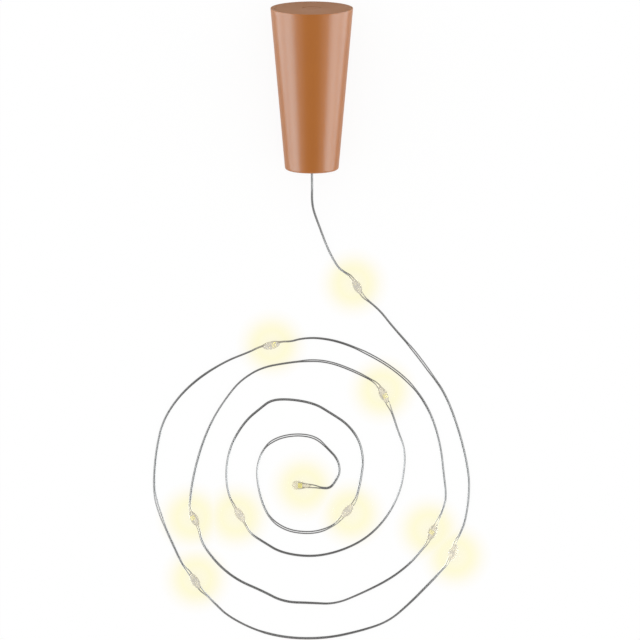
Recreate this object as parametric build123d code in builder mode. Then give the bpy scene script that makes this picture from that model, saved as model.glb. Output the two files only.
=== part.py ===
from build123d import *
import os
from math import cos, radians, sin, tan

# A stopper-shaped light for the neck of a bottle. The tapered stopper holds three
# button cells and a push switch on a tray that pulls out of its wide end. A fine
# twin wire leaves the narrow end and carries ten lights, each cast in a resin drop.
# Lengths are millimetres. The stopper lies on its side on the table, Z up, with its
# wide end towards +Y, and the wire lies on the table in an open inward spiral.

# Button cells, as bought
cell_count = 3
cell_radius = 5.8
cell_height = 5.4
cell_pole_inset = 1.2
cell_pole_height = 0.4

# Push switch, as bought, and its knob
switch_width = 6.2
switch_height = 2.4
pin_width = 0.8
pin_thickness = 0.3
pin_length = 1.0
pin_spacing = 2.5
knob_radius = 2.2
knob_travel = 0.8
knob_sink = 0.05
knob_gap = 0.06
knob_edge_chamfer = 0.12
knob_flange_width = 0.4
knob_flange_height = 0.5

# Contacts and spring
contact_thickness = 0.3
positive_plate_inset = 1.3
negative_plate_inset = 1.05
tab_width = 1.2
tab_clearance = 0.05
negative_tab_inset = 0.6
negative_tab_reach = 0.6
spring_height = 1.8
spring_wire_radius = 0.2
spring_wire_sides = 3
spring_base_inset = 1.2
spring_tip_radius = 1.7
spring_turns = 2.25
spring_steps_per_turn = 6

# Tray for the cells
cage_cell_clearance = 0.05
cage_wall = 0.8
cage_end_wall = 0.7
cage_mouth_height = 2.6
cage_end_inset = 1.25
cage_pin_gap = 0.2
cage_post_gap = 0.8
cage_post_width = 1.2
cage_post_depth = 3.6

# Stopper: a taper round the tray, with room for the slack leads under it
taper = 5.063
shell_wall = 0.9
shell_floor = 1.6
slack_room = 12.7
cage_foot_clearance = 0.21
cage_guide_clearance = 0.2
narrow_edge_chamfer = 0.35
wide_edge_chamfer = 0.15
wire_hole_radius = 1.2
rib_count = 4
rib_first_angle = 45
rib_thickness = 0.8
rib_start_gap = 1.2
rib_end_gap = 0.5

# Cap in the wide end and the ledge that it lands on
rim_wall = 1.0
cap_thickness = 1.6
cap_clearance = 0.08
cap_edge_chamfer = 0.15
ledge_width = 0.8
ledge_height = 1.0
spigot_clearance = 0.1
spigot_wall = 0.8
spigot_length = 2.0

# Twin wire. Each strand is a light three-sided rod, as tall and as wide as the real
# round wire, because its corners are too fine to see.
strand_radius = 0.15
strand_spacing = 0.36
bead_strand_spacing = 0.9
near_bead_spacing = 0.6
near_bead_height = 0.7
rest_height = 0.16
groove_depth = 0.45
groove_width = 0.45
groove_lead_gap = 0.02

# Anchor and slack leads in the narrow end
anchor_clearance = 0.03
anchor_flange_radius = 3.0
anchor_flange_height = 1.4
slack_coil_inset = 1.13
slack_first_radius = 2.4
slack_radius_step = 0.9
slack_turns = 1.5
slack_steps_per_turn = 6
slack_straight = 0.9
slack_coil_start_gap = 2.0
slack_coil_end_gap = 2.4
slack_end_straight = 2.0

# Resin drops and the chips in them
bead_length = 4.8
bead_radius = 1.15
bead_tip_radius = 0.35
end_bead_length = 4.8
end_bead_radius = 1.1
end_bead_widest = 2.3
end_bead_nose_arc = 75
end_chip_shift = 1.3
drop_sides = 8
drop_steps = 4
nose_steps = 3
chip_length = 1.3
chip_width = 1.1
chip_thickness = 0.5
chip_gap = 0.01
chip_faces_up = (False, False, False, True, True, True, True, False, False, True)
bead_shifts = (0.0, 0.35, 0.0, -0.4, 0.0, 0.0, 0.0, 0.0, 0.0, 0.0)

# A corner's arc takes this share of the shorter run beside it
corner_share = 0.45

# Points of a wire nearer along it than this count aren't compared for its least gap
gap_skip = 6

# The wire's route on the table, chosen by hand. The lead falls from the stopper to
# the table. Each stretch runs from one drop to the next, and the two points of a
# drop lie on its axis, before and after it.
lead_points = [
    (0.1, -24.0, 6.1), (0.0, -27.0, 5.0), (0.3, -30.0, 3.2), (1.9, -34.5, 1.0),
    (3.8, -39.8, 0.16), (6.2, -44.3, 0.16), (7.9, -45.5, 0.7),
]
bead_points = [
    [(9.8, -46.6), (12.2, -51.3)],
    [(34.9, -111.7), (33.4, -116.7)],
    [(-27.2, -123.4), (-29.9, -119.1)],
    [(-12.5, -63.6), (-7.4, -62.4)],
    [(30.5, -106.8), (28.4, -111.6)],
    [(-27.5, -108.2), (-29.9, -103.7)],
    [(16.3, -73.1), (18.6, -77.8)],
    [(-16.2, -107.2), (-19.0, -102.7)],
    [(10.4, -102.0), (7.0, -106.0)],
    [(0.5, -97.9), (-3.3, -97.7)],
]
stretch_points = [
    [
        (14.0, -52.7), (16.8, -55.2), (19.4, -58.6), (24.9, -64.8), (29.8, -71.5),
        (32.0, -74.7), (34.2, -79.6), (37.0, -87.0), (38.7, -95.1), (38.7, -100.7),
        (37.6, -106.6), (36.2, -109.8),
    ],
    [
        (32.0, -119.0), (28.9, -122.4), (23.7, -127.1), (18.7, -131.4), (12.3, -133.6),
        (3.9, -135.5), (-5.1, -135.9), (-13.0, -133.9), (-20.4, -130.2), (-24.0, -126.6),
        (-25.6, -124.8),
    ],
    [
        (-31.3, -117.2), (-33.4, -113.5), (-36.1, -107.5), (-38.6, -100.7), (-38.9, -95.1),
        (-38.0, -87.9), (-36.2, -81.8), (-32.6, -76.2), (-27.5, -71.4), (-20.9, -67.3),
        (-15.1, -65.0),
    ],
    [
        (-5.1, -62.5), (-2.6, -61.8), (1.5, -61.6), (6.9, -62.6), (13.2, -65.2),
        (20.0, -69.2), (25.4, -74.2), (29.2, -80.5), (31.4, -88.2), (32.1, -94.8),
        (32.8, -100.7), (31.9, -104.0),
    ],
    [
        (26.6, -113.6), (23.5, -117.0), (18.6, -120.8), (12.0, -124.5), (5.7, -127.1),
        (-0.2, -126.8), (-6.9, -126.6), (-12.2, -123.8), (-18.0, -121.3), (-22.6, -117.7),
        (-26.1, -113.2), (-27.2, -110.5),
    ],
    [
        (-30.1, -101.4), (-29.4, -96.1), (-27.4, -88.1), (-24.3, -80.7), (-20.1, -74.6),
        (-17.3, -71.6), (-12.3, -68.7), (-5.8, -67.3), (0.4, -66.7), (4.9, -67.5),
        (9.8, -69.9), (14.2, -71.7),
    ],
    [
        (19.6, -80.0), (20.9, -84.3), (22.6, -88.7), (22.8, -93.6), (21.5, -99.5),
        (18.3, -105.8), (13.3, -110.7), (6.9, -114.1), (0.0, -115.5), (-7.4, -114.5),
        (-11.7, -111.6), (-14.7, -109.5),
    ],
    [
        (-20.4, -100.3), (-20.9, -96.5), (-20.7, -91.6), (-19.2, -86.7), (-16.0, -81.8),
        (-12.5, -78.9), (-9.8, -76.8), (-4.8, -76.7), (0.8, -77.8), (4.4, -80.0),
        (8.6, -82.7), (11.5, -86.6), (12.6, -91.6), (12.1, -96.5), (11.6, -99.7),
    ],
    [
        (5.2, -107.7), (2.1, -109.2), (-1.6, -109.6), (-6.1, -108.9), (-10.0, -106.4),
        (-12.2, -102.0), (-13.6, -96.5), (-13.5, -92.5), (-11.5, -88.2), (-7.9, -86.0),
        (-3.1, -85.3), (1.1, -86.1), (3.9, -88.8), (6.3, -91.4), (7.1, -94.6),
        (6.0, -97.0), (4.4, -98.6), (2.1, -98.4),
    ],
]

# Sizes worked out from those above, from the cells outwards
stack_height = cell_count * cell_height
cell_pole_radius = cell_radius - cell_pole_inset
cage_bore = cell_radius + cage_cell_clearance
cage_radius = cage_bore + cage_wall
cage_end_height = cage_radius - cage_end_inset
cage_length = 2 * cage_end_wall + 2 * contact_thickness + spring_height + stack_height
cage_cap_gap = switch_height + pin_length + cage_pin_gap
cage_post_offset = switch_width / 2 + cage_post_gap + cage_post_width / 2
positive_plate_radius = cell_radius - positive_plate_inset
negative_plate_radius = cage_bore - negative_plate_inset
negative_tab_offset = negative_plate_radius - negative_tab_inset
spring_base_radius = negative_plate_radius - spring_base_inset
guide_radius = cage_radius + cage_guide_clearance

# Heights above the narrow end, along the stopper's axis
anchor_top = shell_floor + anchor_flange_height
cage_foot = shell_floor + slack_room
cage_top = cage_foot + cage_length
cap_seat = cage_top + cage_cap_gap
stopper_length = cap_seat + cap_thickness
negative_plate_foot = cage_foot + cage_end_wall
spring_foot = negative_plate_foot + contact_thickness
stack_foot = spring_foot + spring_height
positive_plate_foot = stack_foot + stack_height
switch_foot = cap_seat - switch_height
pin_foot = switch_foot - pin_length
ledge_foot = cap_seat - ledge_height
spigot_foot = cap_seat - spigot_length
rib_start = cage_foot + rib_start_gap
rib_end = spigot_foot - rib_end_gap
knob_top = stopper_length - knob_sink
flange_foot = cap_seat - knob_gap - knob_flange_height
well_floor = flange_foot - knob_travel - knob_gap

# The taper clears the tray's foot, and its wall is as thick across as square to it
wall_across = shell_wall / cos(radians(taper))
slant_length = stopper_length / cos(radians(taper))
cavity_at_cage_foot = cage_radius + cage_foot_clearance
narrow_radius = cavity_at_cage_foot + wall_across - cage_foot * tan(radians(taper))
wide_radius = narrow_radius + stopper_length * tan(radians(taper))
mouth_radius = wide_radius - rim_wall
cap_radius = mouth_radius - cap_clearance
ledge_radius = mouth_radius - ledge_width
spigot_radius = ledge_radius - spigot_clearance
lead_depth_radius = cage_radius - groove_depth + groove_lead_gap + strand_radius
flange_radius = knob_radius + knob_flange_width
bead_half = bead_length / 2


def outer_radius(height):
    """The stopper's outer radius at a height above its narrow end."""
    return narrow_radius + height * tan(radians(taper))


def inner_radius(height):
    """The radius of the stopper's cavity at a height above its narrow end."""
    return outer_radius(height) - wall_across


# The stopper lies on its side: its axis rises towards the wide end by the taper, so
# that the lowest line of the cone rests on the table along its whole length.
axis_direction = Vector(0, cos(radians(taper)), sin(radians(taper)))
narrow_centre = Vector(0, -slant_length / 2, narrow_radius * cos(radians(taper)))
stopper_plane = Plane(origin=narrow_centre, x_dir=(-1, 0, 0), z_dir=axis_direction)
stopper_axis = Axis(origin=narrow_centre, direction=axis_direction)


def at(x, y, height):
    """A point beside the stopper's axis, at a height above its narrow end."""
    return stopper_plane.from_local_coords(Vector(x, y, height))


def side_plane(angle):
    """A plane that holds the stopper's axis: x points outwards, y along the axis."""
    outwards = Vector(cos(radians(angle)), sin(radians(angle)), 0)
    out = stopper_plane.from_local_coords(outwards) - narrow_centre
    return Plane(origin=narrow_centre, x_dir=out, z_dir=out.cross(axis_direction))


def rounded_path(points):
    """Straight runs joined by tangent arcs, as large as the runs beside them allow."""
    runs = [points[i + 1] - points[i] for i in range(len(points) - 1)]
    radii = []
    for before, after in zip(runs, runs[1:]):
        shorter = min(before.length, after.length)
        half_turn = radians(before.get_angle(after)) / 2
        radii.append(corner_share * shorter / tan(half_turn))
    return radii, runs


def least_gap(points, thickness, apart):
    """The least space between parts of a path that are further apart along it."""
    least = None
    for i, first in enumerate(points):
        for second in points[i + apart:]:
            gap = (second - first).length - thickness
            least = gap if least is None else min(least, gap)
    return least


def wire_section():
    """A strand's section, drawn where the sketch puts it, with its flat side down."""
    Polygon((-strand_radius, -strand_radius), (strand_radius, -strand_radius), (0, strand_radius))


def report_tube(name, part, radii, length):
    """Print a tube's tightest bend and compare its volume with section times length."""
    section = 2 * strand_radius ** 2
    print(name, "length", round(length, 1), "tightest radius", round(min(radii), 2),
          "volume", round(part.volume, 3), "section x length", round(section * length, 3))


os.makedirs("parts", exist_ok=True)

# Stopper shell: a tapered cup with a hole for the wires in its floor, a ledge near
# its mouth for the cap and ribs that guide the tray
with BuildPart() as cork_shell:
    with BuildSketch(side_plane(0)):
        with BuildLine():
            Polyline(
                (wire_hole_radius, 0),
                (narrow_radius, 0),
                (wide_radius, stopper_length),
                (mouth_radius, stopper_length),
                (mouth_radius, cap_seat),
                (ledge_radius, cap_seat),
                (ledge_radius, ledge_foot),
                (inner_radius(ledge_foot), ledge_foot),
                (inner_radius(shell_floor), shell_floor),
                (wire_hole_radius, shell_floor),
                close=True,
            )
        make_face()
    revolve(axis=stopper_axis)
    narrow_end = cork_shell.edges().filter_by(GeomType.CIRCLE).group_by(stopper_axis)[0]
    chamfer(narrow_end.sort_by(SortBy.RADIUS)[-1], length=narrow_edge_chamfer)
    wide_end = cork_shell.edges().filter_by(GeomType.CIRCLE).group_by(stopper_axis)[-1]
    chamfer(wide_end.sort_by(SortBy.RADIUS)[-1], length=wide_edge_chamfer)
    for i in range(rib_count):
        with BuildSketch(side_plane(rib_first_angle + i * 360 / rib_count)):
            with BuildLine():
                Polyline(
                    (guide_radius, rib_start),
                    (outer_radius(rib_start) - wall_across / 2, rib_start),
                    (outer_radius(rib_end) - wall_across / 2, rib_end),
                    (guide_radius, rib_end),
                    close=True,
                )
            make_face()
        extrude(amount=rib_thickness / 2, both=True)
cork_shell.part.label = "cork_shell"
export_step(cork_shell.part, "parts/cork_shell.step")

# Anchor: a soft plug with a flange inside the floor, cast round the two wires
with BuildPart() as wire_anchor:
    with BuildSketch(stopper_plane):
        Circle(wire_hole_radius - anchor_clearance)
    extrude(amount=shell_floor)
    with BuildSketch(stopper_plane.offset(shell_floor)):
        Circle(anchor_flange_radius)
    extrude(amount=anchor_flange_height)
    with BuildSketch(stopper_plane):
        with GridLocations(strand_spacing, 0, 2, 1):
            wire_section()
    extrude(amount=anchor_top, mode=Mode.SUBTRACT)
wire_anchor.part.label = "wire_anchor"
export_step(wire_anchor.part, "parts/wire_anchor.step")

# Cap: a disc with a spigot that steadies it in the ledge and a hole for the switch's
# knob, which lies flush with it
with BuildPart() as end_cap:
    with BuildSketch(stopper_plane.offset(cap_seat)):
        Circle(cap_radius)
    extrude(amount=cap_thickness)
    cap_face = end_cap.edges().filter_by(GeomType.CIRCLE).group_by(stopper_axis)[-1]
    chamfer(cap_face, length=cap_edge_chamfer)
    with BuildSketch(stopper_plane.offset(spigot_foot)):
        Circle(spigot_radius)
        Circle(spigot_radius - spigot_wall, mode=Mode.SUBTRACT)
    extrude(amount=spigot_length)
    with BuildSketch(stopper_plane.offset(cap_seat)):
        Circle(knob_radius + knob_gap)
    extrude(amount=cap_thickness, mode=Mode.SUBTRACT)
end_cap.part.label = "end_cap"
export_step(end_cap.part, "parts/end_cap.step")

# Tray: a trough round the cells between two end walls, with posts up to the cap and a
# groove for the lead along its underside
with BuildPart() as battery_cage:
    with BuildSketch(stopper_plane.offset(cage_foot)):
        Circle(cage_radius)
        Circle(cage_bore, mode=Mode.SUBTRACT)
        with Locations((0, cage_mouth_height)):
            Rectangle(
                2 * cage_radius, cage_radius, align=(Align.CENTER, Align.MIN), mode=Mode.SUBTRACT
            )
    extrude(amount=cage_length)
    for foot in (cage_foot, cage_top - cage_end_wall):
        with BuildSketch(stopper_plane.offset(foot)):
            Circle(cage_radius)
            with Locations((0, cage_end_height)):
                Rectangle(
                    2 * cage_radius, cage_radius, align=(Align.CENTER, Align.MIN), mode=Mode.SUBTRACT
                )
        extrude(amount=cage_end_wall)
    with BuildSketch(stopper_plane.offset(cage_top)):
        with GridLocations(2 * cage_post_offset, 0, 2, 1):
            Rectangle(cage_post_width, cage_post_depth)
    extrude(amount=cage_cap_gap)
    with BuildSketch(stopper_plane.offset(cage_foot)):
        with Locations((0, -cage_radius)):
            Rectangle(groove_width, 2 * groove_depth)
    extrude(amount=cage_length, mode=Mode.SUBTRACT)
    with BuildSketch(stopper_plane.offset(cage_foot)):
        with Locations((0, negative_tab_offset)):
            Rectangle(tab_width + 2 * tab_clearance, contact_thickness + 2 * tab_clearance)
    extrude(amount=cage_end_wall, mode=Mode.SUBTRACT)
    with BuildSketch(stopper_plane.offset(cage_top - cage_end_wall)):
        with Locations((pin_spacing, (pin_thickness + contact_thickness) / 2)):
            Rectangle(tab_width + 2 * tab_clearance, contact_thickness + 2 * tab_clearance)
    extrude(amount=cage_end_wall, mode=Mode.SUBTRACT)
battery_cage.part.label = "battery_cage"
export_step(battery_cage.part, "parts/battery_cage.step")

# Positive contact: a plate on the top cell with a tab up to a pin of the switch
with BuildPart() as positive_contact:
    with BuildSketch(stopper_plane.offset(positive_plate_foot)):
        Circle(positive_plate_radius)
    extrude(amount=contact_thickness)
    with BuildSketch(stopper_plane.offset(positive_plate_foot)):
        with Locations((pin_spacing, (pin_thickness + contact_thickness) / 2)):
            Rectangle(tab_width, contact_thickness)
    extrude(amount=switch_foot - positive_plate_foot)
positive_contact.part.label = "positive_contact"
export_step(positive_contact.part, "parts/positive_contact.step")

# Negative contact: a plate under the spring with a tab down to a slack lead
with BuildPart() as negative_contact:
    with BuildSketch(stopper_plane.offset(negative_plate_foot)):
        Circle(negative_plate_radius)
    extrude(amount=contact_thickness)
    with BuildSketch(stopper_plane.offset(cage_foot - negative_tab_reach)):
        with Locations((0, negative_tab_offset)):
            Rectangle(tab_width, contact_thickness)
    extrude(amount=spring_foot - cage_foot + negative_tab_reach)
negative_contact.part.label = "negative_contact"
export_step(negative_contact.part, "parts/negative_contact.step")

# Spring: a cone of round wire that presses the cells against the positive contact
spring_points = []
spring_steps = round(spring_turns * spring_steps_per_turn)
for i in range(spring_steps + 1):
    rise_share = i / spring_steps
    angle = radians(360 * spring_turns * rise_share)
    radius = spring_base_radius + (spring_tip_radius - spring_base_radius) * rise_share
    height = spring_foot + spring_wire_radius + (spring_height - 2 * spring_wire_radius) * rise_share
    spring_points.append(at(radius * cos(angle), radius * sin(angle), height))
spring_radii, spring_runs = rounded_path(spring_points)
with BuildPart() as battery_spring:
    with BuildLine() as spring_line:
        FilletPolyline(*spring_points, radius=spring_radii)
    with BuildSketch(Plane(origin=spring_points[0], z_dir=spring_runs[0])):
        RegularPolygon(spring_wire_radius, spring_wire_sides)
    sweep(path=spring_line.wires()[0])
battery_spring.part.label = "battery_spring"
export_step(battery_spring.part, "parts/battery_spring.step")
spring_gap = least_gap(spring_points, 2 * spring_wire_radius, spring_steps_per_turn // 2)
print("battery_spring least gap to itself", round(spring_gap, 2))

# Button cells: a can with a smaller pole towards the spring
for i in range(cell_count):
    foot = stack_foot + i * cell_height
    with BuildPart() as button_cell:
        with BuildSketch(side_plane(0)):
            with BuildLine():
                Polyline(
                    (0, foot),
                    (cell_pole_radius, foot),
                    (cell_pole_radius, foot + cell_pole_height),
                    (cell_radius, foot + cell_pole_height),
                    (cell_radius, foot + cell_height),
                    (0, foot + cell_height),
                    close=True,
                )
            make_face()
        revolve(axis=stopper_axis)
    button_cell.part.label = f"button_cell_{i + 1}"
    export_step(button_cell.part, f"parts/button_cell_{i + 1}.step")

# Switch body: a block under the cap with a round well in which the knob's flange moves
with BuildPart() as switch_housing:
    with BuildSketch(stopper_plane.offset(switch_foot)):
        Rectangle(switch_width, switch_width)
    extrude(amount=switch_height)
    with BuildSketch(stopper_plane.offset(well_floor)):
        Circle(flange_radius + knob_gap)
    extrude(amount=cap_seat - well_floor, mode=Mode.SUBTRACT)
switch_housing.part.label = "switch_housing"
export_step(switch_housing.part, "parts/switch_housing.step")

# Switch pins: three in a row under the body
with BuildPart() as switch_terminals:
    with BuildSketch(stopper_plane.offset(pin_foot)):
        with GridLocations(pin_spacing, 0, 3, 1):
            Rectangle(pin_width, pin_thickness)
    extrude(amount=pin_length)
switch_terminals.part.label = "switch_terminals"
export_step(switch_terminals.part, "parts/switch_terminals.step")

# Switch knob: a round button in the cap's hole, with a wider flange under the cap that
# keeps it in
with BuildPart() as switch_knob:
    with BuildSketch(stopper_plane.offset(flange_foot)):
        Circle(knob_radius)
    extrude(amount=knob_top - flange_foot)
    knob_face = switch_knob.edges().filter_by(GeomType.CIRCLE).group_by(stopper_axis)[-1]
    chamfer(knob_face, length=knob_edge_chamfer)
    with BuildSketch(stopper_plane.offset(flange_foot)):
        Circle(flange_radius)
    extrude(amount=knob_flange_height)
switch_knob.part.label = "switch_knob"
export_step(switch_knob.part, "parts/switch_knob.step")


def lead_plane(start, run):
    """The plane of a lead's section, with the section turned as in the anchor."""
    return Plane(origin=start, x_dir=(-1, 0, 0), z_dir=run)


# Lead of the switch: from the middle pin to the tray's underside and down its groove
pin_side = pin_thickness / 2
lead_height = (pin_foot + switch_foot) / 2
lead_route = [
    at(0, -pin_side, lead_height),
    at(0, -lead_depth_radius, lead_height),
    at(0, -lead_depth_radius, cage_foot),
]
with BuildPart() as switch_lead:
    with BuildLine() as lead_line:
        FilletPolyline(*lead_route, radius=groove_depth)
    with BuildSketch(lead_plane(lead_route[0], lead_route[1] - lead_route[0])):
        wire_section()
    sweep(path=lead_line.wires()[0])
switch_lead.part.label = "switch_lead"
export_step(switch_lead.part, "parts/switch_lead.step")


def slack_route(side, end_radius, end_height):
    """Points of a slack lead: up the axis, out and round in loose turns, then up again.

    The lead of side -1 ends under the tray's groove, that of side 1 at the tab.
    """
    points = [at(side * strand_spacing / 2, 0, 0)]
    points.append(at(side * strand_spacing / 2, 0, anchor_top + slack_straight))
    coil_radius = inner_radius(shell_floor) - slack_coil_inset
    steps = round(slack_turns * slack_steps_per_turn)
    first_angle = side * 90 - 360 * slack_turns
    coil_foot = anchor_top + slack_coil_start_gap
    coil_head = cage_foot - slack_coil_end_gap
    for i in range(steps):
        angle = radians(first_angle + 360 * i / slack_steps_per_turn)
        radius = min(coil_radius, slack_first_radius + i * slack_radius_step)
        height = coil_foot + (coil_head - coil_foot) * i / steps
        points.append(at(radius * cos(angle), radius * sin(angle), height))
    points.append(at(0, side * end_radius, end_height - slack_end_straight))
    points.append(at(0, side * end_radius, end_height))
    return points


# Slack leads: loose turns in the narrow end, so that the tray can be pulled out
slack_leads = {
    "slack_lead_switch": slack_route(-1, lead_depth_radius, cage_foot),
    "slack_lead_spring": slack_route(1, negative_tab_offset, cage_foot - negative_tab_reach),
}
for name, route in slack_leads.items():
    radii, runs = rounded_path(route)
    with BuildPart() as slack_lead:
        with BuildLine() as slack_line:
            FilletPolyline(*route, radius=radii)
        with BuildSketch(lead_plane(route[0], runs[0])):
            wire_section()
        sweep(path=slack_line.wires()[0])
    slack_lead.part.label = name
    export_step(slack_lead.part, f"parts/{name}.step")
    report_tube(name, slack_lead.part, radii, slack_line.wires()[0].length)
    slack_gap = least_gap(route, 2 * strand_radius, slack_steps_per_turn // 2)
    print(name, "least gap to itself", round(slack_gap, 2))


def wire_route():
    """The wire's points in order, each with the space between its strands there."""
    route = [(narrow_centre, strand_spacing)]
    for i, point in enumerate(lead_points):
        is_last = i == len(lead_points) - 1
        route.append((Vector(point), near_bead_spacing if is_last else strand_spacing))
    for i, (before, after) in enumerate(bead_points):
        route.append((Vector(*before, bead_radius), bead_strand_spacing))
        route.append((Vector(*after, bead_radius), bead_strand_spacing))
        if i == len(stretch_points):
            return route
        stretch = stretch_points[i]
        for j, (x, y) in enumerate(stretch):
            is_near = j in (0, len(stretch) - 1)
            height = near_bead_height if is_near else rest_height
            spacing = near_bead_spacing if is_near else strand_spacing
            route.append((Vector(x, y, height), spacing))
    return route


def strand_route(side):
    """The wire's points moved sideways to one strand, square to the bend at each."""
    route = wire_route()
    moved = []
    for i, (point, spacing) in enumerate(route):
        before = route[max(i - 1, 0)][0]
        after = route[min(i + 1, len(route) - 1)][0]
        into = Vector(point.X - before.X, point.Y - before.Y) if i > 0 else Vector(0, -1)
        out = Vector(after.X - point.X, after.Y - point.Y) if i < len(route) - 1 else into
        along = (into.normalized() + out.normalized()).normalized()
        across = Vector(-along.Y, along.X)
        half_turn = radians(into.get_angle(out)) / 2
        moved.append(point + across * (side * spacing / 2 / cos(half_turn)))
    return moved


# Twin wire: two bare strands side by side, further apart where a light joins them
strands = {}
for name, side in (("wire_strand_left", 1), ("wire_strand_right", -1)):
    route = strand_route(side)
    radii, runs = rounded_path(route)
    with BuildPart() as strand:
        with BuildLine() as strand_line:
            FilletPolyline(*route, radius=radii)
        with BuildSketch(Plane(origin=route[0], x_dir=(1, 0, 0), z_dir=runs[0])):
            wire_section()
        sweep(path=strand_line.wires()[0])
    strand.part.label = name
    export_step(strand.part, f"parts/{name}.step")
    strands[name] = strand
    report_tube(name, strand.part, radii, strand_line.wires()[0].length)
    print(name, "radii", [round(radius, 1) for radius in radii])
    print(name, "least gap to itself", round(least_gap(route, 2 * strand_radius, gap_skip), 2))


def bead_frame(index):
    """A plane in the middle of a drop: x along the wire, z up."""
    before, after = bead_points[index]
    along = Vector(after[0] - before[0], after[1] - before[1]).normalized()
    across = Vector(-along.Y, along.X)
    middle = Vector((before[0] + after[0]) / 2, (before[1] + after[1]) / 2, bead_radius)
    return Plane(origin=middle + across * bead_shifts[index], x_dir=along, z_dir=(0, 0, 1))


def chip_part(index):
    """A light chip: a small block that lies across both strands, over or under them."""
    frame = bead_frame(index)
    above = strand_radius + chip_gap
    over = above if chip_faces_up[index] else -above - chip_thickness
    along = end_chip_shift if index == len(bead_points) - 1 else 0
    with BuildPart() as chip:
        with BuildSketch(frame.offset(over)):
            with Locations((along, -bead_shifts[index])):
                Rectangle(chip_width, chip_length)
        extrude(amount=chip_thickness)
    return chip


def drop_outline():
    """Half the outline of a drop on the wire, a shallow arch of (along, radius) points."""
    points = []
    for i in range(drop_steps + 1):
        from_middle = 2 * i / drop_steps - 1
        arch = 1 - from_middle ** 2
        points.append((from_middle * bead_half, bead_tip_radius + arch * (bead_radius - bead_tip_radius)))
    return points


def end_drop_outline():
    """Half the outline of the last drop: a taper at the wire and a round free end."""
    taper_length = end_bead_length - end_bead_radius
    points = []
    for i in range(drop_steps):
        from_widest = 1 - i / drop_steps
        radius = end_bead_radius - from_widest ** 2 * (end_bead_radius - bead_tip_radius)
        points.append((end_bead_widest - from_widest * taper_length, radius))
    for i in range(nose_steps + 1):
        angle = radians(i * end_bead_nose_arc / nose_steps)
        along = end_bead_widest + end_bead_radius * sin(angle)
        points.append((along, end_bead_radius * cos(angle)))
    return points


def drop_part(frame, half_outline):
    """A resin drop: its outline, pushed through from several sides around the wire."""
    other_half = [(along, -radius) for along, radius in reversed(half_outline)]
    along_wire = Axis(origin=(0, 0, 0), direction=frame.x_dir)
    with BuildPart() as drop:
        for i in range(drop_sides // 2):
            facing = frame.z_dir.rotate(along_wire, i * 360 / drop_sides)
            with BuildSketch(Plane(origin=frame.origin, x_dir=frame.x_dir, z_dir=facing)):
                with BuildLine():
                    Polyline(*half_outline, *other_half, close=True)
                make_face()
            side_mode = Mode.INTERSECT if i > 0 else Mode.ADD
            extrude(amount=2 * bead_radius, both=True, mode=side_mode)
    return drop


# Lights: ten chips, each with a drop of resin cast round it and the two strands
bead_count = len(bead_points)
for i in range(bead_count):
    frame = bead_frame(i)
    led_chip = chip_part(i)
    outline = end_drop_outline() if i == bead_count - 1 else drop_outline()
    with BuildPart() as led_bead:
        add(drop_part(frame, outline).part)
        add(led_chip.part, mode=Mode.SUBTRACT)
        for strand in strands.values():
            add(strand.part, mode=Mode.SUBTRACT)
    led_chip.part.label = f"led_chip_{i + 1:02d}"
    export_step(led_chip.part, f"parts/led_chip_{i + 1:02d}.step")
    led_bead.part.label = f"led_bead_{i + 1:02d}"
    export_step(led_bead.part, f"parts/led_bead_{i + 1:02d}.step")
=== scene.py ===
# %% [markdown]
# A stopper light for a bottle: a brown plastic stopper with three button cells inside,
# and a thin silver twin wire with ten lights in drops of clear resin. This script gives
# the imported model its finishes and its fine shapes. Sizes are in metres, apart from
# the given lists, which are in millimetres.

from math import cos, pi, radians, sin, tan

import bmesh
import bpy
from mathutils import Matrix, Vector, noise


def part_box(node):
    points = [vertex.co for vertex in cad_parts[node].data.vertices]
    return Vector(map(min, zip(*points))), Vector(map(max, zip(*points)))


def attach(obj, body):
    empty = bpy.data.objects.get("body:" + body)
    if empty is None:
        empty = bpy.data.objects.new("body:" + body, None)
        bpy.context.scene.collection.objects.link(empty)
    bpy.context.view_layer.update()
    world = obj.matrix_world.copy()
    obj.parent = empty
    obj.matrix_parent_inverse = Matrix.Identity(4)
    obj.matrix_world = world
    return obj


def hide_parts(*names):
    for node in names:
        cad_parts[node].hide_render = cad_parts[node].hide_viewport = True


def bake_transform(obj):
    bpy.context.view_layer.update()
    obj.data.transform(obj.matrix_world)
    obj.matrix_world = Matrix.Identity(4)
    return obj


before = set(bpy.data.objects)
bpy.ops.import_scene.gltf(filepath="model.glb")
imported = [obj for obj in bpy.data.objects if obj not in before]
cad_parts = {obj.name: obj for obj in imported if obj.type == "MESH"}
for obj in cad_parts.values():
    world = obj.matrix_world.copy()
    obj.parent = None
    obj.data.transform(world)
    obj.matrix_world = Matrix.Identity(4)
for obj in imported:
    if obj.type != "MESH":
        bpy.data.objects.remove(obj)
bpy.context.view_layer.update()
mm = 0.001

# %% [markdown]
# The camera. The photograph looks down on a table from almost straight above and from
# far away, because the nearer pieces are drawn no larger than the rest. So the camera
# stands two metres up and leans a few degrees towards the stopper, and a long lens
# fills the frame with the 156 mm that the picture shows.

# %% The camera
picture_width = 155.76 * mm
camera_distance = 2.0
camera_tilt = radians(6.3)
camera_target = Vector((1.9854, -57.2672, 0.3)) * mm

camera_data = bpy.data.cameras.new("camera")
camera_data.sensor_width = 36
camera_data.lens = camera_data.sensor_width * camera_distance / picture_width
camera = bpy.data.objects.new("camera", camera_data)
camera.location = camera_target + camera_distance * Vector((0, sin(camera_tilt), cos(camera_tilt)))
camera.rotation_euler = (-camera_tilt, 0, 0)
bpy.context.scene.collection.objects.link(camera)
bpy.context.scene.camera = camera
bpy.context.scene.view_settings.view_transform = "Standard"
print("lens", round(camera_data.lens, 1), "mm")
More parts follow.
